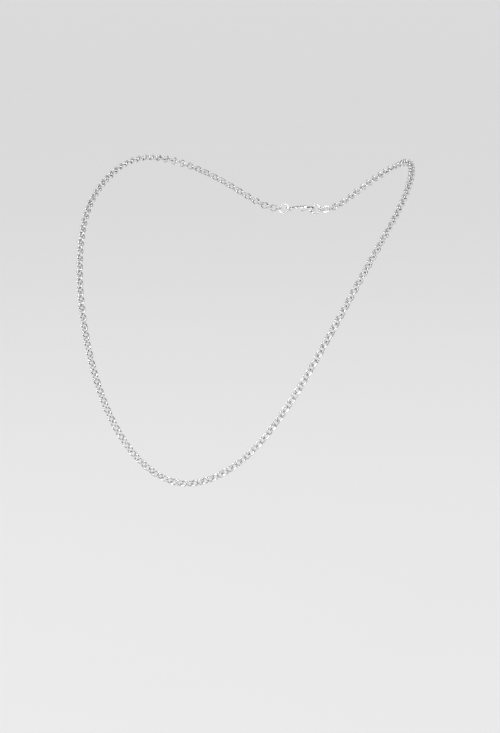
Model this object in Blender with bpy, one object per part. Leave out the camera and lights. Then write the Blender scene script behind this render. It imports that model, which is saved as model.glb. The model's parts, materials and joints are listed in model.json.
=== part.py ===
"""A plain round-link (rolo) chain necklace in the shape it takes around a neck.

+X is the wearer's left, -Y is the front, +Z is up, and the origin is the middle of the nape,
where the clasp lies. The chain is a closed loop of soldered wire rings, each through the next.
Rings are grouped into runs, and runs of one height, left and right, into lifts: a lift turns on a
hinge through the two points where it hangs in the rings above, so the loop stays closed in every
pose.
Lengths named below are in millimetres.
"""

import bmesh
import bpy
import numpy as np
from math import cos, pi, radians, sin
from mathutils import Matrix, Vector

MM = 0.001

# Wire ring of the chain
WIRE = 0.6                 # wire diameter
LINK_WIDTH = 3.1           # outside width of one ring
LINK_SIDES = 8             # straight stretches round a ring
RIDGE = 0.39               # three-sided wire of the same bulk, centre to corner
FUSED = 0.10               # how deep neighbours in one run sink into each other
GAP = 0.05                 # free play between rings of two runs

# How the chain is divided, counted on one side from the clasp to the lowest ring
NAPE_RUNS = [5, 5]
LIFT_RUNS = [6] * 17
RUNS_PER_LIFT = [5, 4, 3, 2, 2, 1]
BIGHT_RUNS = [7, 7]
HALF_CENTRE_RUN = 3        # the centre run has these on each side of the lowest ring

# The path of one side, from the clasp's end ring round the shoulder to the lowest ring
PATH = [
    (9, 0, 0),
    (24, -5, 7),
    (42, -18, 18),
    (53.5, -35.5, 21.5),
    (59.5, -58, 16),
    (60, -79.5, 6),
    (55, -103.5, -12),
    (44.5, -125, -39),
    (32, -137, -63),
    (18, -143, -79),
    (0, -146, -86),
]
# Where the chain's roll faces, by distance from the clasp; both sides are turned the same way
FACING = [
    (0, (0, 0.39392, 0.91915)),
    (35, (0.1, -0.1, 0.9)),
    (60, (0.29, -0.94, 0.14)),
    (255, (0.29, -0.94, 0.14)),
]
TWIST_LENGTH = 30          # the chain turns by an eighth within this length of the clasp

# Clasp, in its own plane: x along the chain towards the hook, y towards the gate
CLASP_SHIFT = 0.815
CLASP_THICK = 1.7
CLASP_EDGE = 0.28          # chamfer round the body
BELLY = (-2.9, 0, 1.5)     # centre x, y and radius of the body's narrow end
BOW = (2.6, 0, 3.0)        # and of its hook end
WINDOW_BACK = (0.9, -0.2, 1.1)
WINDOW_FRONT = (2.7, 0, 1.75)
EYE = (-5.2, 0, 1.3)
EYE_HOLE = 0.75
EYE_THICK = 1.0
NOSE_X = 2.9               # the mouth ends at the hook's nose
SLOT = (-3.2, 0.6, -0.2, 4.0)           # x from and to, y from and to
SLOT_WIDE = 1.0
PIVOT = (-1.0, 1.0)
PIN_RADIUS = 0.2
PIN_PLAY = 0.025
HUB_RADIUS = 0.8
LEVER_THICK = 0.84
POCKET_RADIUS = 0.62
GATE = [(-0.95, 0.2), (3.1, 0.5), (3.2, 1.15), (2.75, 1.2), (2.7, 2.3), (0.2, 2.0), (-1.0, 1.8)]
THUMB = [(-1.0, 0.3), (-0.9, 1.8), (-2.0, 2.1), (-2.6, 2.95), (-3.0, 2.85), (-2.5, 1.5), (-1.7, 0.6)]
POCKET_FLOOR = -0.12
SPRING_WIRE = 0.19
SPRING_RADIUS = 0.42
SPRING_TURNS = 1.5
SPRING_RISE = 0.22         # for each turn
JUMP_WIRE = 0.6
JUMP_RADIUS = 1.9          # to the wire's centre
JUMP_X = -7.395            # ring through the eye, ring centre
END_X = 5.765              # ring held in the hook, ring centre

# Colour and roughness of each metal
CHAIN_SILVER = ((0.80, 0.80, 0.81, 1.0), 0.12)
CLASP_SILVER = ((0.78, 0.78, 0.79, 1.0), 0.18)
SPRING_STEEL = ((0.45, 0.45, 0.47, 1.0), 0.35)


def clear_scene():
    for thing in list(bpy.data.objects):
        bpy.data.objects.remove(thing, do_unlink=True)


def metal(name, colour, roughness):
    material = bpy.data.materials.new(name)
    material.use_nodes = True
    shader = material.node_tree.nodes["Principled BSDF"]
    shader.inputs["Base Color"].default_value = colour
    shader.inputs["Metallic"].default_value = 1.0
    shader.inputs["Roughness"].default_value = roughness
    return material


def mesh_from(vertices, faces):
    mesh = bpy.data.meshes.new("shape")
    mesh.from_pydata([tuple(v) for v in vertices], [], faces)
    return mesh


def joined(first, second, operation):
    """The Boolean of two closed meshes, as a new mesh."""
    holders = [bpy.data.objects.new("operand", mesh) for mesh in (first, second)]
    for holder in holders:
        bpy.context.scene.collection.objects.link(holder)
    step = holders[0].modifiers.new("join", "BOOLEAN")
    step.operation = operation
    step.solver = "EXACT"
    step.object = holders[1]
    graph = bpy.context.evaluated_depsgraph_get()
    result = bpy.data.meshes.new_from_object(holders[0].evaluated_get(graph))
    for holder in holders:
        bpy.data.objects.remove(holder, do_unlink=True)
    return result


def moved(mesh, matrix):
    copy = mesh.copy()
    copy.transform(matrix)
    if matrix.determinant() < 0:
        copy.flip_normals()
    return copy


def empty_at(name, place, parent):
    pivot = bpy.data.objects.new(name, None)
    pivot.empty_display_size = 2 * MM
    bpy.context.scene.collection.objects.link(pivot)
    pivot.parent = parent
    above = parent.matrix_world.translation if parent else Vector()
    pivot.location = Vector(place) * MM - above
    bpy.context.view_layer.update()
    return pivot


def node(name, mesh, parent, finish):
    """One sub-part from a mesh in millimetres about the frame's origin, hung on its body's empty."""
    shift = Matrix.Translation(-parent.matrix_world.translation)
    solid = moved(mesh, shift @ Matrix.Scale(MM, 4))
    solid.name = name
    solid.materials.clear()
    solid.materials.append(metal(name + "_metal", *finish))
    solid.shade_smooth()
    solid.set_sharp_from_angle(angle=radians(50))
    thing = bpy.data.objects.new(name, solid)
    bpy.context.scene.collection.objects.link(thing)
    thing.parent = parent
    return thing


# The chain's path

def smooth_path(points, start, end):
    """Points along a cubic spline through these points, with the given end directions."""
    points = np.array(points, float)
    spans = np.linalg.norm(np.diff(points, axis=0), axis=1)
    count = len(points)
    weights = np.eye(count)
    sums = np.zeros((count, 3))
    sums[0], sums[-1] = start, end
    for i in range(1, count - 1):
        before, after = spans[i - 1], spans[i]
        weights[i, i - 1:i + 2] = [1 / before, 2 / before + 2 / after, 1 / after]
        rise_before = (points[i] - points[i - 1]) / before**2
        rise_after = (points[i + 1] - points[i]) / after**2
        sums[i] = 3 * (rise_before + rise_after)
    slopes = np.linalg.solve(weights, sums)
    path = []
    for i, span in enumerate(spans):
        for u in np.linspace(0, 1, 200, endpoint=False):
            path.append(
                (1 + 2 * u) * (1 - u) ** 2 * points[i]
                + u * (1 - u) ** 2 * span * slopes[i]
                + u**2 * (3 - 2 * u) * points[i + 1]
                + u**2 * (u - 1) * span * slopes[i + 1]
            )
    return np.array(path + [points[-1]])


class Side:
    """Places along one side of the chain by their distance from the clasp."""

    def __init__(self):
        self.path = smooth_path(PATH, (1, 0, 0), (-1, 0, 0))
        steps = np.linalg.norm(np.diff(self.path, axis=0), axis=1)
        self.distance = np.concatenate([[0], np.cumsum(steps)])
        self.length = self.distance[-1]

    def at(self, s):
        return Vector([np.interp(s, self.distance, self.path[:, i]) for i in range(3)])

    def frame(self, s, mirrored=False):
        """The place, the direction along the chain and the way its roll faces there."""
        ahead = self.at(min(s + 0.5, self.length))
        behind = self.at(max(s - 0.5, 0))
        along = (ahead - behind).normalized()
        if s <= 0:
            along = Vector((1, 0, 0))
        if s >= self.length:
            along = Vector((-1, 0, 0))
        place = self.at(s)
        stops = [stop for stop, _ in FACING]
        out = Vector([np.interp(s, stops, [facing[i] for _, facing in FACING]) for i in range(3)])
        if mirrored:
            out.x = -out.x
        normal = (out - along * out.dot(along)).normalized()
        return place, along, normal


def ring_distances(side):
    """Distance of each ring's centre along one side; rings of two runs stand a little closer."""
    ends = np.cumsum(NAPE_RUNS + LIFT_RUNS + BIGHT_RUNS)
    count = ends[-1] + HALF_CENTRE_RUN
    closer = FUSED + GAP
    pitch = (side.length + closer * len(ends)) / count
    distances = [0.0]
    for k in range(1, count + 1):
        distances.append(distances[-1] + pitch - (closer if k in ends else 0))
    return distances, pitch


def ring_mesh(side, s, odd, mirrored, pitch):
    """One wire ring: straight stretches of three-sided wire, its sharp edge on the inside."""
    place, along, normal = side.frame(s, mirrored)
    ease = min(s / TWIST_LENGTH, 1)
    ease = ease * ease * (3 - 2 * ease)
    turn = radians(90 - 45 * ease - (90 if odd else 0))
    across = normal * cos(turn) + along.cross(normal) * sin(turn)
    plane = along.cross(across)
    half_long = (pitch + 2 * RIDGE - FUSED) / 2
    half_wide = (LINK_WIDTH - WIRE) / 2
    vertices, faces = [], []
    for i in range(LINK_SIDES):
        angle = 2 * pi * (i + 0.5) / LINK_SIDES
        reach = 1 / cos(pi / LINK_SIDES)
        centre = along * (half_long * reach * cos(angle)) + across * (half_wide * reach * sin(angle))
        inward = -centre.normalized()
        for j in range(3):
            around = 2 * pi * j / 3
            corner = inward * (RIDGE * cos(around)) + plane * (RIDGE * sin(around))
            vertices.append(place + centre + corner)
    for i in range(LINK_SIDES):
        for j in range(3):
            ahead, beside = (i + 1) % LINK_SIDES, (j + 1) % 3
            faces.append((i * 3 + j, ahead * 3 + j, ahead * 3 + beside, i * 3 + beside))
    return vertices, faces


def run_mesh(side, rings, pitch):
    """Rings of one run, each sunk a little into the next, as one closed mesh."""
    halves = []
    for odd in (0, 1):
        vertices, faces = [], []
        for k, s, mirrored in rings:
            if k % 2 != odd:
                continue
            own, own_faces = ring_mesh(side, s, k % 2, mirrored, pitch)
            if mirrored:
                own = [Vector((-v.x, v.y, v.z)) for v in own]
                own_faces = [face[::-1] for face in own_faces]
            faces += [tuple(i + len(vertices) for i in face) for face in own_faces]
            vertices += own
        halves.append(mesh_from(vertices, faces))
    return joined(halves[0], halves[1], "UNION")


def build_chain():
    side = Side()
    distances, pitch = ring_distances(side)
    root = empty_at("nape", (0, 0, 0), None)
    parent, first = root, 0
    starts = {sum(RUNS_PER_LIFT[:i]): f"lift_{i + 1}" for i in range(len(RUNS_PER_LIFT))}
    starts[len(LIFT_RUNS)] = "bight"
    for number, count in enumerate(NAPE_RUNS + LIFT_RUNS + BIGHT_RUNS):
        level = number - len(NAPE_RUNS)
        if level < 0:
            label = f"nape_run_{number + 1}"
        elif level < len(LIFT_RUNS):
            label = f"run_{level + 1:02d}"
        else:
            label = f"bight_run_{level - len(LIFT_RUNS) + 1}"
        if level in starts:
            contact = side.at((distances[first - 1] + distances[first]) / 2)
            parent = empty_at(starts[level], (0, contact.y, contact.z), parent)
        ks = range(first, first + count)
        for hand, mirrored in (("left", False), ("right", True)):
            rings = [(k, distances[k], mirrored) for k in ks]
            node(f"{label}_{hand}", run_mesh(side, rings, pitch), parent, CHAIN_SILVER)
        first += count
    last = len(distances) - 1
    rings = [(k, distances[k], False) for k in range(first, last + 1)]
    rings += [(k, distances[k], True) for k in range(first, last)]
    node("bight_run_centre", run_mesh(side, rings, pitch), parent, CHAIN_SILVER)
    return root, side


# The clasp

def circle(centre_x, centre_y, radius, sides, from_angle=0.0, to_angle=2 * pi):
    angles = [from_angle + (to_angle - from_angle) * i / sides for i in range(sides)]
    return [(centre_x + radius * cos(a), centre_y + radius * sin(a)) for a in angles]


def taper(back, front, sides=12):
    """The outline round two circles, the smaller one behind."""
    turn = np.arccos((back[2] - front[2]) / (front[0] - back[0]))
    outline = circle(*front, sides, -turn, turn)
    outline += circle(*front, 1, turn, turn)
    outline += circle(*back, sides, turn, 2 * pi - turn)
    outline += circle(*back, 1, 2 * pi - turn, 2 * pi - turn)
    return outline


def plate(outline, low, high, edge=0.0):
    """A flat plate with this outline between two heights, its rims chamfered by edge."""
    shape = bmesh.new()
    floor = shape.faces.new([shape.verts.new((x, y, low)) for x, y in outline])
    grown = bmesh.ops.extrude_face_region(shape, geom=[floor])
    top = [v for v in grown["geom"] if isinstance(v, bmesh.types.BMVert)]
    bmesh.ops.translate(shape, verts=top, vec=(0, 0, high - low))
    bmesh.ops.recalc_face_normals(shape, faces=shape.faces)
    if edge:
        rims = [e for e in shape.edges if abs(e.verts[0].co.z - e.verts[1].co.z) < 1e-6]
        bmesh.ops.bevel(shape, geom=rims, offset=edge, segments=1, affect="EDGES")
    mesh = bpy.data.meshes.new("plate")
    shape.to_mesh(mesh)
    shape.free()
    return mesh


def cut(mesh, *cutters):
    for cutter in cutters:
        mesh = joined(mesh, cutter, "DIFFERENCE")
    return mesh


def box(x0, x1, y0, y1, low, high):
    return plate([(x0, y0), (x1, y0), (x1, y1), (x0, y1)], low, high)


def clasp_body_mesh():
    half = CLASP_THICK / 2
    beyond = half + 0.5
    body = plate(taper(BELLY, BOW), -half, half, CLASP_EDGE)
    eye = plate(circle(*EYE, 16), -EYE_THICK / 2, EYE_THICK / 2, 0.15)
    stem = box(EYE[0] + EYE_HOLE + 0.1, BELLY[0], -0.75, 0.75, -0.46, 0.46)
    body = joined(joined(body, eye, "UNION"), stem, "UNION")
    x0, x1, y0, y1 = SLOT
    return cut(
        body,
        plate(circle(EYE[0], EYE[1], EYE_HOLE, 12), -beyond, beyond),
        plate(taper(WINDOW_BACK, WINDOW_FRONT, 8), -beyond, beyond),
        box(x1 - 0.4, NOSE_X, 0.1, 5, -beyond, beyond),
        box(x0, x1, y0, y1, -SLOT_WIDE / 2, SLOT_WIDE / 2),
        plate(circle(*PIVOT, PIN_RADIUS + PIN_PLAY, 12), -beyond, beyond),
    )


def clasp_lever_mesh():
    half = LEVER_THICK / 2
    lever = plate(circle(*PIVOT, HUB_RADIUS, 14), -half, half)
    lever = joined(lever, plate(GATE, -half, half - 0.01), "UNION")
    lever = joined(lever, plate(THUMB, 0.01 - half, half - 0.02), "UNION")
    x, y = PIVOT
    return cut(
        lever,
        plate(circle(x, y, POCKET_RADIUS, 14), POCKET_FLOOR, 1),
        box(x - 0.6, x + 0.45, y - 2, y, POCKET_FLOOR + 0.005, 1),
        plate(circle(x, y, PIN_RADIUS + 2 * PIN_PLAY, 12), -1, 1),
    )


def tube_mesh(points, radius, sides):
    """A closed tube of small sides along these points, kept square to the clasp's plane."""
    vertices, faces = [], []
    up = Vector((0, 0, 1))
    for i, point in enumerate(points):
        ahead = points[min(i + 1, len(points) - 1)] - points[max(i - 1, 0)]
        across = ahead.cross(up).normalized()
        rise = across.cross(ahead).normalized()
        for j in range(sides):
            angle = 2 * pi * (j + 0.5) / sides
            vertices.append(point + (across * cos(angle) + rise * sin(angle)) * radius)
    for i in range(len(points) - 1):
        for j in range(sides):
            beside = (j + 1) % sides
            faces.append((i * sides + j, i * sides + beside, (i + 1) * sides + beside, (i + 1) * sides + j))
    faces.append(tuple(range(sides))[::-1])
    faces.append(tuple(range(len(vertices) - sides, len(vertices))))
    mesh = mesh_from(vertices, faces)
    shape = bmesh.new()
    shape.from_mesh(mesh)
    bmesh.ops.recalc_face_normals(shape, faces=shape.faces)
    shape.to_mesh(mesh)
    shape.free()
    return mesh


def clasp_spring_mesh():
    """A torsion coil round the pin: one leg stands on the slot's floor, one ends in the pocket."""
    x, y = PIVOT
    steps = 18
    points = [Vector((x - SPRING_RADIUS, SLOT[2] + 0.09, 0))]
    for i in range(steps + 1):
        turns = SPRING_TURNS * i / steps
        angle = pi + 2 * pi * turns
        across, along = x + SPRING_RADIUS * cos(angle), y + SPRING_RADIUS * sin(angle)
        points.append(Vector((across, along, SPRING_RISE * turns)))
    return tube_mesh(points, SPRING_WIRE / 2, 6)


def jump_ring_mesh(x):
    """A round wire ring that stands square to the clasp's plane."""
    vertices, faces = [], []
    around, sides = 16, 5
    for i in range(around):
        turn = 2 * pi * i / around
        out = Vector((cos(turn), 0, sin(turn)))
        for j in range(sides):
            angle = 2 * pi * (j + 0.5) / sides
            wire = out * cos(angle) + Vector((0, 1, 0)) * sin(angle)
            vertices.append(Vector((x, 0, 0)) + out * JUMP_RADIUS + wire * (JUMP_WIRE / 2))
    for i in range(around):
        for j in range(sides):
            ahead, beside = (i + 1) % around, (j + 1) % sides
            faces.append((i * sides + j, i * sides + beside, ahead * sides + beside, ahead * sides + j))
    return mesh_from(vertices, faces)


def build_clasp(root, side):
    normal = side.frame(0)[2]
    flat = Matrix.Rotation(np.arctan2(normal.z, normal.y) - pi / 2, 4, "X")
    place = flat @ Matrix.Translation((CLASP_SHIFT, 0, 0))
    jump = empty_at("jump_ring_swing", (JUMP_X + CLASP_SHIFT, 0, 0), root)
    end = empty_at("end_ring_swing", (END_X + CLASP_SHIFT, 0, 0), root)
    clasp = empty_at("clasp_swing", (CLASP_SHIFT, 0, 0), root)
    pivot = place @ Vector((*PIVOT, 0))
    lever = empty_at("lever_pivot", pivot, clasp)
    half = CLASP_THICK / 2 - 0.02
    pin = plate(circle(*PIVOT, PIN_RADIUS, 12), -half, half)
    node("jump_ring", moved(jump_ring_mesh(JUMP_X), place), jump, CLASP_SILVER)
    node("end_ring", moved(jump_ring_mesh(END_X), place), end, CLASP_SILVER)
    node("clasp_body", moved(clasp_body_mesh(), place), clasp, CLASP_SILVER)
    node("clasp_pin", moved(pin, place), clasp, CLASP_SILVER)
    node("clasp_spring", moved(clasp_spring_mesh(), place), clasp, SPRING_STEEL)
    node("clasp_lever", moved(clasp_lever_mesh(), place), lever, CLASP_SILVER)


def build():
    clear_scene()
    root, side = build_chain()
    build_clasp(root, side)


build()
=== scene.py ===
"""The chain necklace's looks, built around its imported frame.

Every ring of the chain is a round wire ring of its own, placed along the same path as the CAD
runs; one piece holds the rings of one run and rides on that run's body. The clasp's pieces are
fine versions of its CAD nodes. Shapes are made in millimetres and scaled at the end.
"""

import json
from math import cos, exp, pi, radians, sin

import bmesh
import bpy
import numpy as np
from mathutils import Matrix, Vector


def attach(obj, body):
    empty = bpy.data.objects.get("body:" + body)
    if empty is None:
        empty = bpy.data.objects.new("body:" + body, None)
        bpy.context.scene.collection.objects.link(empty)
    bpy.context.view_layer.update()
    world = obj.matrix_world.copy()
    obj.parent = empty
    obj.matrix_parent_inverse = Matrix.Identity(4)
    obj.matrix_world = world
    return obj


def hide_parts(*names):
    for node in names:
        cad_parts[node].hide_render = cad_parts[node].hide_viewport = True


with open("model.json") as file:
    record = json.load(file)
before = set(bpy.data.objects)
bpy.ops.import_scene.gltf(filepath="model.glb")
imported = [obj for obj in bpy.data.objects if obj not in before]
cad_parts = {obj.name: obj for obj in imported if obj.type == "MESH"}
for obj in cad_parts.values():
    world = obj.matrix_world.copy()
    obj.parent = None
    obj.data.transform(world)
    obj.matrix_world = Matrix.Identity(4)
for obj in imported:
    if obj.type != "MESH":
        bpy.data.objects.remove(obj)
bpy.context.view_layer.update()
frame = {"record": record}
MM = 0.001

# The chain, as in the CAD model
WIRE = 0.6
LINK_WIDTH = 3.1
NAPE_RUNS = [5, 5]
LIFT_RUNS = [6] * 17
BIGHT_RUNS = [7, 7]
HALF_CENTRE_RUN = 3
PATH = [
    (9, 0, 0),
    (24, -5, 7),
    (42, -18, 18),
    (53.5, -35.5, 21.5),
    (59.5, -58, 16),
    (60, -79.5, 6),
    (55, -103.5, -12),
    (44.5, -125, -39),
    (32, -137, -63),
    (18, -143, -79),
    (0, -146, -86),
]
FACING = [
    (0, (0, 0.39392, 0.91915)),
    (35, (0.1, -0.1, 0.9)),
    (60, (0.29, -0.94, 0.14)),
    (255, (0.29, -0.94, 0.14)),
]
TWIST_LENGTH = 30

# Looks of the rings, where they differ from the CAD model
PLAY = 0.055               # gap between neighbouring rings' wires, a little over the CAD model's
RING_STEPS = 36
WIRE_SIDES = 12
ROLL_JITTER = 3            # how far a ring is turned from its place, degrees
LEAN_JITTER = 1.5

# The clasp, as in the CAD model
CLASP_SHIFT = 0.815
CLASP_THICK = 1.7
BELLY = (-2.9, 0, 1.5)
BOW = (2.6, 0, 3.0)
WINDOW_BACK = (0.9, -0.2, 1.1)
WINDOW_FRONT = (2.7, 0, 1.75)
EYE = (-5.2, 0, 1.3)
EYE_HOLE = 0.75
EYE_THICK = 1.0
NOSE_X = 2.9
SLOT = (-3.2, 0.6, -0.2, 4.0)
SLOT_WIDE = 1.0
PIVOT = (-1.0, 1.0)
PIN_RADIUS = 0.2
HUB_RADIUS = 0.8
LEVER_THICK = 0.84
GATE = [(-0.95, 0.2), (3.1, 0.5), (3.2, 1.15), (2.75, 1.2), (2.7, 2.3), (0.2, 2.0), (-1.0, 1.8)]
THUMB = [(-1.0, 0.3), (-0.9, 1.8), (-2.0, 2.1), (-2.6, 2.95), (-3.0, 2.85), (-2.5, 1.5), (-1.7, 0.6)]
POCKET_RADIUS = 0.62
POCKET_FLOOR = -0.12
SPRING_WIRE = 0.19
SPRING_RADIUS = 0.42
SPRING_TURNS = 1.5
SPRING_RISE = 0.22
JUMP_WIRE = 0.56           # 0.04 finer than in the CAD model, for play in the hook
JUMP_RADIUS = 1.9
JUMP_X = -7.395
END_X = 5.765
DOME = 1.3                 # how far in from its rim the clasp's body is domed
RIVET = 0.34               # radius of the pivot's riveted heads
GATE_CROWN = (1.25, 1.1)   # middle and half height of the gate's rounded face

# The colours, as linear red, green, blue and alpha
CLEAN_SILVER = (0.90, 0.90, 0.90, 1)
WORN_SILVER = (0.82, 0.82, 0.82, 1)
# tarnish and painted shade for the inner side of the rings' wire, where neighbouring rings pass through
TARNISH_AND_SHADE = (0.50, 0.49, 0.48, 1)
SOLDER = (0.60, 0.59, 0.57, 1)
DULL_RING = (0.70, 0.70, 0.70, 1)
BRIGHT_STEEL = (0.46, 0.46, 0.48, 1)
DARK_STEEL = (0.30, 0.30, 0.32, 1)
FLOOR_DARK = (0.29, 0.29, 0.29, 1)
FLOOR_LIGHT = (0.31, 0.31, 0.31, 1)

# The studio, in metres and watts
FLOOR_Z = -0.158
FLOOR_GLOW = 0.58
ROOM = [                   # brightness of the room by height, from straight down to straight up
    (0.0, 0.70),
    (0.085, 0.70),
    (0.11, 1.0),
    (0.16, 1.0),
    (0.26, 0.03),
    (0.70, 0.03),
    (0.76, 0.6),
    (1.0, 0.6),
]
LIGHTS = [                 # name, place, width and height, power
    ("key", (-0.7, -0.9, 0.8), (0.6, 0.5), 8.0),
    ("fill", (1.1, -0.6, 0.3), (0.3, 0.8), 1.5),
    ("top", (0.1, 0.2, 1.1), (0.9, 0.9), 3.0),
]
LIGHT_AIM = (0, -0.07, -0.03)
CAMERA_AZIMUTH = 17.2
CAMERA_ELEVATION = 8
CAMERA_DISTANCE = 1.080
CAMERA_AIM = (-0.0159, -0.0163, -0.0622)
CAMERA_LENS = 132.6


# Materials

def new_material(name):
    material = bpy.data.materials.new(name)
    material.use_nodes = True
    nodes = material.node_tree.nodes
    return material, nodes, material.node_tree.links, nodes["Principled BSDF"]


def noise(nodes, links, scale, detail=4.0, roughness=0.55):
    place = nodes.new("ShaderNodeTexCoord")
    texture = nodes.new("ShaderNodeTexNoise")
    texture.inputs["Scale"].default_value = scale
    texture.inputs["Detail"].default_value = detail
    texture.inputs["Roughness"].default_value = roughness
    links.new(place.outputs["Object"], texture.inputs["Vector"])
    return texture.outputs["Fac"]


def spread(nodes, links, value, low, high, start=0.3, end=0.7):
    """A value that goes from low to high while the input goes from start to end."""
    step = nodes.new("ShaderNodeMapRange")
    for name, number in (("From Min", start), ("From Max", end), ("To Min", low), ("To Max", high)):
        step.inputs[name].default_value = number
    links.new(value, step.inputs["Value"])
    return step.outputs["Result"]


def combine(nodes, links, operation, first, second):
    step = nodes.new("ShaderNodeMath")
    step.operation = operation
    for socket, value in zip(step.inputs, (first, second)):
        if isinstance(value, (int, float)):
            socket.default_value = value
        else:
            links.new(value, socket)
    return step.outputs[0]


def attribute(nodes, name):
    step = nodes.new("ShaderNodeAttribute")
    step.attribute_name = name
    return step.outputs["Fac"]


def mixed(nodes, links, share, first, second):
    step = nodes.new("ShaderNodeMix")
    step.data_type = "RGBA"
    links.new(share, step.inputs["Factor"])
    for socket, value in (("A", first), ("B", second)):
        spot = [s for s in step.inputs if s.name == socket and s.type == "RGBA"][0]
        if isinstance(value, tuple):
            spot.default_value = value
        else:
            links.new(value, spot)
    return [s for s in step.outputs if s.type == "RGBA"][0]


def silver(name, bright, worn, low, high, seams):
    """Polished silver: clean on the crowns, a breath of tarnish and painted shade inside, fine rubbing
    marks.
    """
    material, nodes, links, shader = new_material(name)
    shader.inputs["Metallic"].default_value = 1.0
    cloud = noise(nodes, links, 900)
    grain = noise(nodes, links, 6000, 6, 0.7)
    tint = mixed(nodes, links, spread(nodes, links, cloud, 0, 1), bright, worn)
    rough = combine(
        nodes, links, "ADD",
        spread(nodes, links, cloud, low, high),
        spread(nodes, links, grain, -0.02, 0.04),
    )
    if seams:
        inside = attribute(nodes, "inside")
        seam = attribute(nodes, "seam")
        tone = attribute(nodes, "tone")
        # The inside mix darkens the inner side of each ring's wire: partly tarnish, partly painted shade
        # where neighbouring rings pass through
        for value, share, colour in ((inside, 0.5, TARNISH_AND_SHADE), (seam, 0.4, SOLDER), (tone, 0.25, DULL_RING)):
            tint = mixed(nodes, links, combine(nodes, links, "MULTIPLY", value, share), tint, colour)
        rough = combine(nodes, links, "ADD", rough, combine(nodes, links, "MULTIPLY", seam, 0.22))
        rough = combine(nodes, links, "ADD", rough, combine(nodes, links, "MULTIPLY", inside, 0.08))
    links.new(tint, shader.inputs["Base Color"])
    links.new(rough, shader.inputs["Roughness"])
    bump = nodes.new("ShaderNodeBump")
    bump.inputs["Strength"].default_value = 0.25
    bump.inputs["Distance"].default_value = 0.00001
    links.new(grain, bump.inputs["Height"])
    links.new(bump.outputs["Normal"], shader.inputs["Normal"])
    return material


def spring_steel(name):
    material, nodes, links, shader = new_material(name)
    shader.inputs["Metallic"].default_value = 1.0
    marks = noise(nodes, links, 4000, 5, 0.6)
    tint = mixed(nodes, links, spread(nodes, links, marks, 0, 1), BRIGHT_STEEL, DARK_STEEL)
    links.new(tint, shader.inputs["Base Color"])
    links.new(spread(nodes, links, marks, 0.25, 0.42), shader.inputs["Roughness"])
    return material


def plain_floor(name):
    """A pale table that glows a little, so that it stays even."""
    material, nodes, links, shader = new_material(name)
    shader.inputs["Roughness"].default_value = 0.9
    shader.inputs["Emission Color"].default_value = (1, 1, 1, 1)
    shader.inputs["Emission Strength"].default_value = FLOOR_GLOW
    cloud = noise(nodes, links, 3)
    tint = mixed(nodes, links, cloud, FLOOR_DARK, FLOOR_LIGHT)
    links.new(tint, shader.inputs["Base Color"])
    return material


CHAIN_SILVER = silver("chain_silver", CLEAN_SILVER, WORN_SILVER, 0.09, 0.18, True)
CLASP_SILVER = silver("clasp_silver", CLEAN_SILVER, WORN_SILVER, 0.11, 0.22, False)
SPRING_STEEL = spring_steel("spring_steel")


# The chain's path

def smooth_path(points, start, end):
    """Points along a cubic spline through these points, with the given end directions."""
    points = np.array(points, float)
    spans = np.linalg.norm(np.diff(points, axis=0), axis=1)
    count = len(points)
    weights = np.eye(count)
    sums = np.zeros((count, 3))
    sums[0], sums[-1] = start, end
    for i in range(1, count - 1):
        before, after = spans[i - 1], spans[i]
        weights[i, i - 1:i + 2] = [1 / before, 2 / before + 2 / after, 1 / after]
        rise_before = (points[i] - points[i - 1]) / before**2
        rise_after = (points[i + 1] - points[i]) / after**2
        sums[i] = 3 * (rise_before + rise_after)
    slopes = np.linalg.solve(weights, sums)
    path = []
    for i, span in enumerate(spans):
        for u in np.linspace(0, 1, 200, endpoint=False):
            path.append(
                (1 + 2 * u) * (1 - u) ** 2 * points[i]
                + u * (1 - u) ** 2 * span * slopes[i]
                + u**2 * (3 - 2 * u) * points[i + 1]
                + u**2 * (u - 1) * span * slopes[i + 1]
            )
    return np.array(path + [points[-1]])


class Side:
    """Places along one side of the chain by their distance from the clasp."""

    def __init__(self):
        self.path = smooth_path(PATH, (1, 0, 0), (-1, 0, 0))
        steps = np.linalg.norm(np.diff(self.path, axis=0), axis=1)
        self.distance = np.concatenate([[0], np.cumsum(steps)])
        self.length = self.distance[-1]

    def at(self, s):
        return Vector([np.interp(s, self.distance, self.path[:, i]) for i in range(3)])

    def frame(self, s, mirrored=False):
        """The place, the direction along the chain and the way its flat side faces there."""
        ahead = self.at(min(s + 0.5, self.length))
        behind = self.at(max(s - 0.5, 0))
        along = (ahead - behind).normalized()
        if s <= 0:
            along = Vector((1, 0, 0))
        if s >= self.length:
            along = Vector((-1, 0, 0))
        place = self.at(s)
        stops = [stop for stop, _ in FACING]
        out = Vector([np.interp(s, stops, [facing[i] for _, facing in FACING]) for i in range(3)])
        if mirrored:
            out.x = -out.x
        normal = (out - along * out.dot(along)).normalized()
        return place, along, normal


# Pieces

def as_piece(name, mesh, material, body, nodes):
    """Makes a finished piece from a mesh in millimetres about the frame's origin."""
    mesh.transform(Matrix.Scale(MM, 4))
    mesh.name = name
    mesh.materials.clear()
    mesh.materials.append(material)
    mesh.shade_smooth()
    thing = bpy.data.objects.new(name, mesh)
    bpy.context.scene.collection.objects.link(thing)
    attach(thing, body)
    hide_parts(*nodes)


def mesh_from(vertices, faces):
    mesh = bpy.data.meshes.new("shape")
    mesh.from_pydata([tuple(v) for v in vertices], [], faces)
    return mesh


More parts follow.
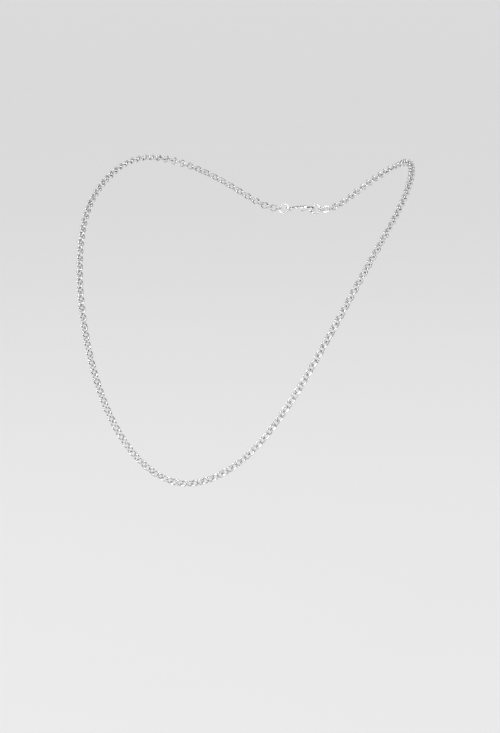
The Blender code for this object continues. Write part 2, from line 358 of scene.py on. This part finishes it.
def ring_points(side, k, pitch, mirrored, chance):
    """A round wire ring, slightly longer than wide, with a small soldered seam.

    Returns its vertices and, for each, how far inside the ring it lies and how near the seam.
    """
    s = k * pitch
    place, along, normal = side.frame(s, mirrored)
    ease = min(s / TWIST_LENGTH, 1)
    ease = ease * ease * (3 - 2 * ease)
    turn = radians(90 - 45 * ease - (90 if k % 2 else 0) + chance.uniform(-1, 1) * ROLL_JITTER * ease)
    across = normal * cos(turn) + along.cross(normal) * sin(turn)
    plane = along.cross(across)
    lean = Matrix.Rotation(radians(chance.uniform(-1, 1) * LEAN_JITTER), 3, plane)
    lean = Matrix.Rotation(radians(chance.uniform(-1, 1) * LEAN_JITTER), 3, across) @ lean
    along, across, plane = lean @ along, lean @ across, lean @ plane
    half_long = (pitch + PLAY + WIRE) / 2
    half_wide = (LINK_WIDTH - WIRE) / 2
    seam_at = chance.choice([0.5, 1.5]) * pi + chance.uniform(-0.35, 0.35)
    vertices, inside, seam = [], [], []
    for i in range(RING_STEPS):
        t = 2 * pi * i / RING_STEPS
        centre = along * (half_long * cos(t)) + across * (half_wide * sin(t))
        outward = (along * (half_wide * cos(t)) + across * (half_long * sin(t))).normalized()
        away = (t - seam_at + pi) % (2 * pi) - pi
        near = exp(-((away / 0.16) ** 2))
        radius = WIRE / 2 * (1 + 0.05 * near)
        for j in range(WIRE_SIDES):
            around = 2 * pi * j / WIRE_SIDES
            spot = place + centre + (outward * cos(around) + plane * sin(around)) * radius
            vertices.append(Vector((-spot.x, spot.y, spot.z)) if mirrored else spot)
            # how much tarnish and painted shade this point gets: most on the side of the wire facing the
            # ring's middle
            inside.append(max(0.0, -cos(around)) ** 1.5)
            seam.append(near)
    return vertices, inside, seam


def ring_faces(mirrored):
    faces = []
    for i in range(RING_STEPS):
        for j in range(WIRE_SIDES):
            ahead, beside = (i + 1) % RING_STEPS, (j + 1) % WIRE_SIDES
            face = (
                i * WIRE_SIDES + j,
                ahead * WIRE_SIDES + j,
                ahead * WIRE_SIDES + beside,
                i * WIRE_SIDES + beside,
            )
            faces.append(face if mirrored else face[::-1])
    return faces


def run_piece(side, label, rings, pitch, body):
    vertices, faces, inside, seam, tone = [], [], [], [], []
    for k, mirrored in rings:
        chance = np.random.default_rng(1000 + 2 * k + mirrored)
        own, own_inside, own_seam = ring_points(side, k, pitch, mirrored, chance)
        faces += [tuple(i + len(vertices) for i in face) for face in ring_faces(mirrored)]
        vertices += own
        inside += own_inside
        seam += own_seam
        tone += [chance.uniform(0, 1)] * len(own)
    mesh = mesh_from(vertices, faces)
    for name, values in (("inside", inside), ("seam", seam), ("tone", tone)):
        mesh.attributes.new(name, "FLOAT", "POINT").data.foreach_set("value", values)
    as_piece("rings_" + label, mesh, CHAIN_SILVER, body, [label])


def build_chain():
    side = Side()
    count = sum(NAPE_RUNS + LIFT_RUNS + BIGHT_RUNS) + HALF_CENTRE_RUN
    pitch = side.length / count
    home = {name: body for body, names in frame["record"]["behaviour"]["bodies"].items() for name in names}
    first = 0
    for number, size in enumerate(NAPE_RUNS + LIFT_RUNS + BIGHT_RUNS):
        level = number - len(NAPE_RUNS)
        if level < 0:
            label = f"nape_run_{number + 1}"
        elif level < len(LIFT_RUNS):
            label = f"run_{level + 1:02d}"
        else:
            label = f"bight_run_{level - len(LIFT_RUNS) + 1}"
        for hand, mirrored in (("left", False), ("right", True)):
            rings = [(k, mirrored) for k in range(first, first + size)]
            name = f"{label}_{hand}"
            run_piece(side, name, rings, pitch, home[name])
        first += size
    rings = [(k, False) for k in range(first, count + 1)] + [(k, True) for k in range(first, count)]
    run_piece(side, "bight_run_centre", rings, pitch, home["bight_run_centre"])
    return side


# The clasp's pieces, in the clasp's own plane: x along the chain to the hook, y to the gate

def circle(centre_x, centre_y, radius, sides, from_angle=0.0, to_angle=2 * pi):
    angles = [from_angle + (to_angle - from_angle) * i / sides for i in range(sides)]
    return [(centre_x + radius * cos(a), centre_y + radius * sin(a)) for a in angles]


def taper(back, front, sides=48):
    """The outline round two circles, the smaller one behind."""
    turn = np.arccos((back[2] - front[2]) / (front[0] - back[0]))
    outline = circle(*front, sides, -turn, turn)
    outline += circle(*front, 1, turn, turn)
    outline += circle(*back, sides, turn, 2 * pi - turn)
    outline += circle(*back, 1, 2 * pi - turn, 2 * pi - turn)
    return outline


def plate(outline, low, high, edge=0.0, segments=6):
    """A plate with this outline between two heights, its rims rounded by edge."""
    shape = bmesh.new()
    floor = shape.faces.new([shape.verts.new((x, y, low)) for x, y in outline])
    grown = bmesh.ops.extrude_face_region(shape, geom=[floor])
    top = [v for v in grown["geom"] if isinstance(v, bmesh.types.BMVert)]
    bmesh.ops.translate(shape, verts=top, vec=(0, 0, high - low))
    bmesh.ops.recalc_face_normals(shape, faces=shape.faces)
    if edge:
        rims = [e for e in shape.edges if abs(e.verts[0].co.z - e.verts[1].co.z) < 1e-6]
        bmesh.ops.bevel(shape, geom=rims, offset=edge, segments=segments, profile=0.5, affect="EDGES")
    mesh = bpy.data.meshes.new("plate")
    shape.to_mesh(mesh)
    shape.free()
    return mesh


def pillow(outline_inside, half, reach, rise, steps=12):
    """A plate of this half thickness, domed over this reach from its rim, where it is thinner by
    this rise on each side; outline_inside(d) is its outline drawn in by d."""
    turns = [pi / 2 * i / steps for i in range(steps + 1)]
    rows = [(reach - reach * cos(a), half - rise + rise * sin(a)) for a in turns]
    rows = [(d, -z) for d, z in rows[::-1]] + rows
    vertices = []
    for d, z in rows:
        outline = outline_inside(d)
        vertices += [(x, y, z) for x, y in outline]
    return mesh_from(vertices, rows_of_faces(len(rows), len(outline)))


def rows_of_faces(rows, sides):
    """The faces that join rings of vertices in turn, and a cap at each end."""
    faces = []
    for i in range(rows - 1):
        for j in range(sides):
            beside = (j + 1) % sides
            faces.append((i * sides + j, i * sides + beside, (i + 1) * sides + beside, (i + 1) * sides + j))
    faces.append(tuple(range(sides))[::-1])
    faces.append(tuple(range((rows - 1) * sides, rows * sides)))
    return faces


def faced_out(mesh):
    """The mesh with its faces pointing out."""
    shape = bmesh.new()
    shape.from_mesh(mesh)
    bmesh.ops.recalc_face_normals(shape, faces=shape.faces)
    shape.to_mesh(mesh)
    shape.free()
    return mesh


def box(x0, x1, y0, y1, low, high):
    return plate([(x0, y0), (x1, y0), (x1, y1), (x0, y1)], low, high)


def shaped(mesh, steps, cell=0.05, smooth=5):
    """The mesh joined with and cut by others in turn, then rounded as cast and tumbled metal is."""
    holder = bpy.data.objects.new("work", mesh)
    bpy.context.scene.collection.objects.link(holder)
    others = []
    for operation, other in steps:
        tool = bpy.data.objects.new("tool", other)
        bpy.context.scene.collection.objects.link(tool)
        step = holder.modifiers.new("join", "BOOLEAN")
        step.operation = operation
        step.solver = "EXACT"
        step.object = tool
        others.append(tool)
    skin = holder.modifiers.new("skin", "REMESH")
    skin.mode = "VOXEL"
    skin.voxel_size = cell
    ease = holder.modifiers.new("ease", "SMOOTH")
    ease.factor = 0.5
    ease.iterations = smooth
    graph = bpy.context.evaluated_depsgraph_get()
    result = bpy.data.meshes.new_from_object(holder.evaluated_get(graph))
    for thing in [holder] + others:
        bpy.data.objects.remove(thing, do_unlink=True)
    return result


def clasp_body_mesh():
    half = CLASP_THICK / 2
    beyond = half + 0.5
    x0, x1, y0, y1 = SLOT
    return shaped(
        pillow(lambda d: taper((*BELLY[:2], BELLY[2] - d), (*BOW[:2], BOW[2] - d)), half, DOME, 0.6),
        [
            ("UNION", pillow(lambda d: circle(*EYE[:2], EYE[2] - d, 64), EYE_THICK / 2, 0.27, 0.3)),
            ("UNION", box(EYE[0] + EYE_HOLE + 0.1, BELLY[0], -0.75, 0.75, -0.46, 0.46)),
            ("DIFFERENCE", plate(circle(EYE[0], EYE[1], EYE_HOLE, 48), -beyond, beyond)),
            ("DIFFERENCE", plate(taper(WINDOW_BACK, WINDOW_FRONT), -beyond, beyond)),
            ("DIFFERENCE", box(x1 - 0.4, NOSE_X, 0.1, 5, -beyond, beyond)),
            ("DIFFERENCE", box(x0, x1, y0, y1, -SLOT_WIDE / 2, SLOT_WIDE / 2)),
            ("DIFFERENCE", plate(circle(*PIVOT, PIN_RADIUS + 0.02, 32), -beyond, beyond)),
        ],
        smooth=26,
    )


def clasp_lever_mesh():
    half = LEVER_THICK / 2
    x, y = PIVOT
    lever = shaped(
        plate(circle(x, y, HUB_RADIUS, 64), -half, half, 0.08, 3),
        [
            ("UNION", plate(GATE, -half, half - 0.01, 0.08, 3)),
            ("UNION", plate(THUMB, 0.01 - half, half - 0.02, 0.08, 3)),
            ("DIFFERENCE", plate(circle(x, y, POCKET_RADIUS, 48), POCKET_FLOOR, 1)),
            ("DIFFERENCE", box(x - 0.6, x + 0.45, y - 2, y, POCKET_FLOOR + 0.005, 1)),
            ("DIFFERENCE", plate(circle(x, y, PIN_RADIUS + 0.05, 32), -1, 1)),
        ],
        cell=0.035,
        smooth=16,
    )
    middle, reach = GATE_CROWN
    for vertex in lever.vertices:
        beyond = np.interp(vertex.co.x, (SLOT[1] - 0.4, SLOT[1] + 0.6), (0, 1))
        vertex.co.z *= 1 - 0.4 * beyond * min(abs(vertex.co.y - middle) / reach, 1) ** 2
    return lever


def tube_mesh(points, radius, sides):
    """A closed tube along these points, kept square to the clasp's plane."""
    vertices = []
    up = Vector((0, 0, 1))
    count = len(points)
    for i, point in enumerate(points):
        ahead = (points[min(i + 1, count - 1)] - points[max(i - 1, 0)]).normalized()
        across = ahead.cross(up).normalized()
        rise = across.cross(ahead).normalized()
        for j in range(sides):
            angle = 2 * pi * (j + 0.5) / sides
            vertices.append(point + (across * cos(angle) + rise * sin(angle)) * radius)
    return faced_out(mesh_from(vertices, rows_of_faces(count, sides)))


def clasp_spring_mesh():
    """A torsion coil round the pin with a straight leg down to the slot's floor."""
    x, y = PIVOT
    steps = 90
    points = [Vector((x - SPRING_RADIUS, SLOT[2] + 0.09 + 0.1 * i, 0)) for i in range(11)]
    for i in range(1, steps + 1):
        turns = SPRING_TURNS * i / steps
        angle = pi + 2 * pi * turns
        across, along = x + SPRING_RADIUS * cos(angle), y + SPRING_RADIUS * sin(angle)
        points.append(Vector((across, along, SPRING_RISE * turns)))
    return tube_mesh(points, SPRING_WIRE / 2, 12)


def clasp_pin_mesh():
    """A pin with a low round rivet head on each cheek."""
    half = CLASP_THICK / 2
    turns = [pi / 2 * i / 6 for i in range(6)]
    rows = [(RIVET * sin(a + pi / 12), -half + 0.04 - 0.12 * cos(a + pi / 12)) for a in turns]
    rows.append((PIN_RADIUS, -half + 0.05))
    rows += [(r, -z) for r, z in rows[::-1]]
    sides = 40
    vertices = [(x, y, z) for r, z in rows for x, y in circle(*PIVOT, r, sides)]
    return mesh_from(vertices, rows_of_faces(len(rows), sides))


def jump_ring_mesh(x, cut_at):
    """A round wire ring, its ends all but touching, that stands square to the clasp's plane."""
    steps, sides = 96, 20
    open_by = 0.012
    vertices = []
    for i in range(steps + 1):
        turn = cut_at + open_by / 2 + (2 * pi - open_by) * i / steps
        out = Vector((cos(turn), 0, sin(turn)))
        end = min(i, steps - i)
        radius = JUMP_WIRE / 2 * (0.9 if end == 0 else 1.0)
        for j in range(sides):
            angle = 2 * pi * j / sides
            wire = out * cos(angle) + Vector((0, 1, 0)) * sin(angle)
            vertices.append(Vector((x, 0, 0)) + out * JUMP_RADIUS + wire * radius)
    return faced_out(mesh_from(vertices, rows_of_faces(steps + 1, sides)))


def build_clasp(side):
    normal = side.frame(0)[2]
    flat = Matrix.Rotation(np.arctan2(normal.z, normal.y) - pi / 2, 4, "X")
    place = flat @ Matrix.Translation((CLASP_SHIFT, 0, 0))
    pieces = [
        ("jump_ring_wire", jump_ring_mesh(JUMP_X, 0.9), CLASP_SILVER, "jump_ring_body", "jump_ring"),
        ("end_ring_wire", jump_ring_mesh(END_X, 2.3), CLASP_SILVER, "end_ring_body", "end_ring"),
        ("clasp_casting", clasp_body_mesh(), CLASP_SILVER, "clasp", "clasp_body"),
        ("clasp_rivet", clasp_pin_mesh(), CLASP_SILVER, "clasp", "clasp_pin"),
        ("clasp_coil", clasp_spring_mesh(), SPRING_STEEL, "clasp", "clasp_spring"),
        ("clasp_gate", clasp_lever_mesh(), CLASP_SILVER, "lever", "clasp_lever"),
    ]
    for name, mesh, material, body, node in pieces:
        mesh.transform(place)
        as_piece(name, mesh, material, body, [node])


# Floor, light and camera

def build_floor():
    mesh = mesh_from([(-30, -30, 0), (30, -30, 0), (30, 60, 0), (-30, 60, 0)], [(0, 1, 2, 3)])
    mesh.materials.append(plain_floor("floor"))
    floor = bpy.data.objects.new("floor", mesh)
    floor.location.z = FLOOR_Z
    bpy.context.scene.collection.objects.link(floor)


def soft_light(name, place, aim, size, power):
    light = bpy.data.lights.new(name, "AREA")
    light.shape = "RECTANGLE"
    light.size, light.size_y = size
    light.energy = power
    lamp = bpy.data.objects.new(name, light)
    bpy.context.scene.collection.objects.link(lamp)
    lamp.location = place
    lamp.rotation_euler = (Vector(aim) - Vector(place)).to_track_quat("-Z", "Y").to_euler()


def build_light():
    world = bpy.context.scene.world or bpy.data.worlds.new("studio")
    bpy.context.scene.world = world
    world.use_nodes = True
    nodes, links = world.node_tree.nodes, world.node_tree.links
    place = nodes.new("ShaderNodeTexCoord")
    split = nodes.new("ShaderNodeSeparateXYZ")
    links.new(place.outputs["Generated"], split.inputs["Vector"])
    room = nodes.new("ShaderNodeValToRGB")
    links.new(split.outputs["Z"], room.inputs["Fac"])
    ramp = room.color_ramp.elements
    for height, _ in ROOM[2:]:
        ramp.new(height)
    for element, (height, level) in zip(ramp, ROOM):
        element.position = height
        element.color = (level, level, level, 1)
    links.new(room.outputs["Color"], nodes["Background"].inputs["Color"])
    for name, place, size, power in LIGHTS:
        soft_light(name, place, LIGHT_AIM, size, power)


def build_camera():
    azimuth, elevation = radians(CAMERA_AZIMUTH), radians(CAMERA_ELEVATION)
    back = Vector((sin(azimuth) * cos(elevation), -cos(azimuth) * cos(elevation), sin(elevation)))
    data = bpy.data.cameras.new("camera")
    data.lens = CAMERA_LENS
    camera = bpy.data.objects.new("camera", data)
    bpy.context.scene.collection.objects.link(camera)
    camera.location = Vector(CAMERA_AIM) + back * CAMERA_DISTANCE
    camera.rotation_euler = back.to_track_quat("Z", "Y").to_euler()
    bpy.context.scene.camera = camera


side = build_chain()
build_clasp(side)
build_floor()
build_light()
build_camera()
bpy.context.scene.view_settings.view_transform = "Standard"
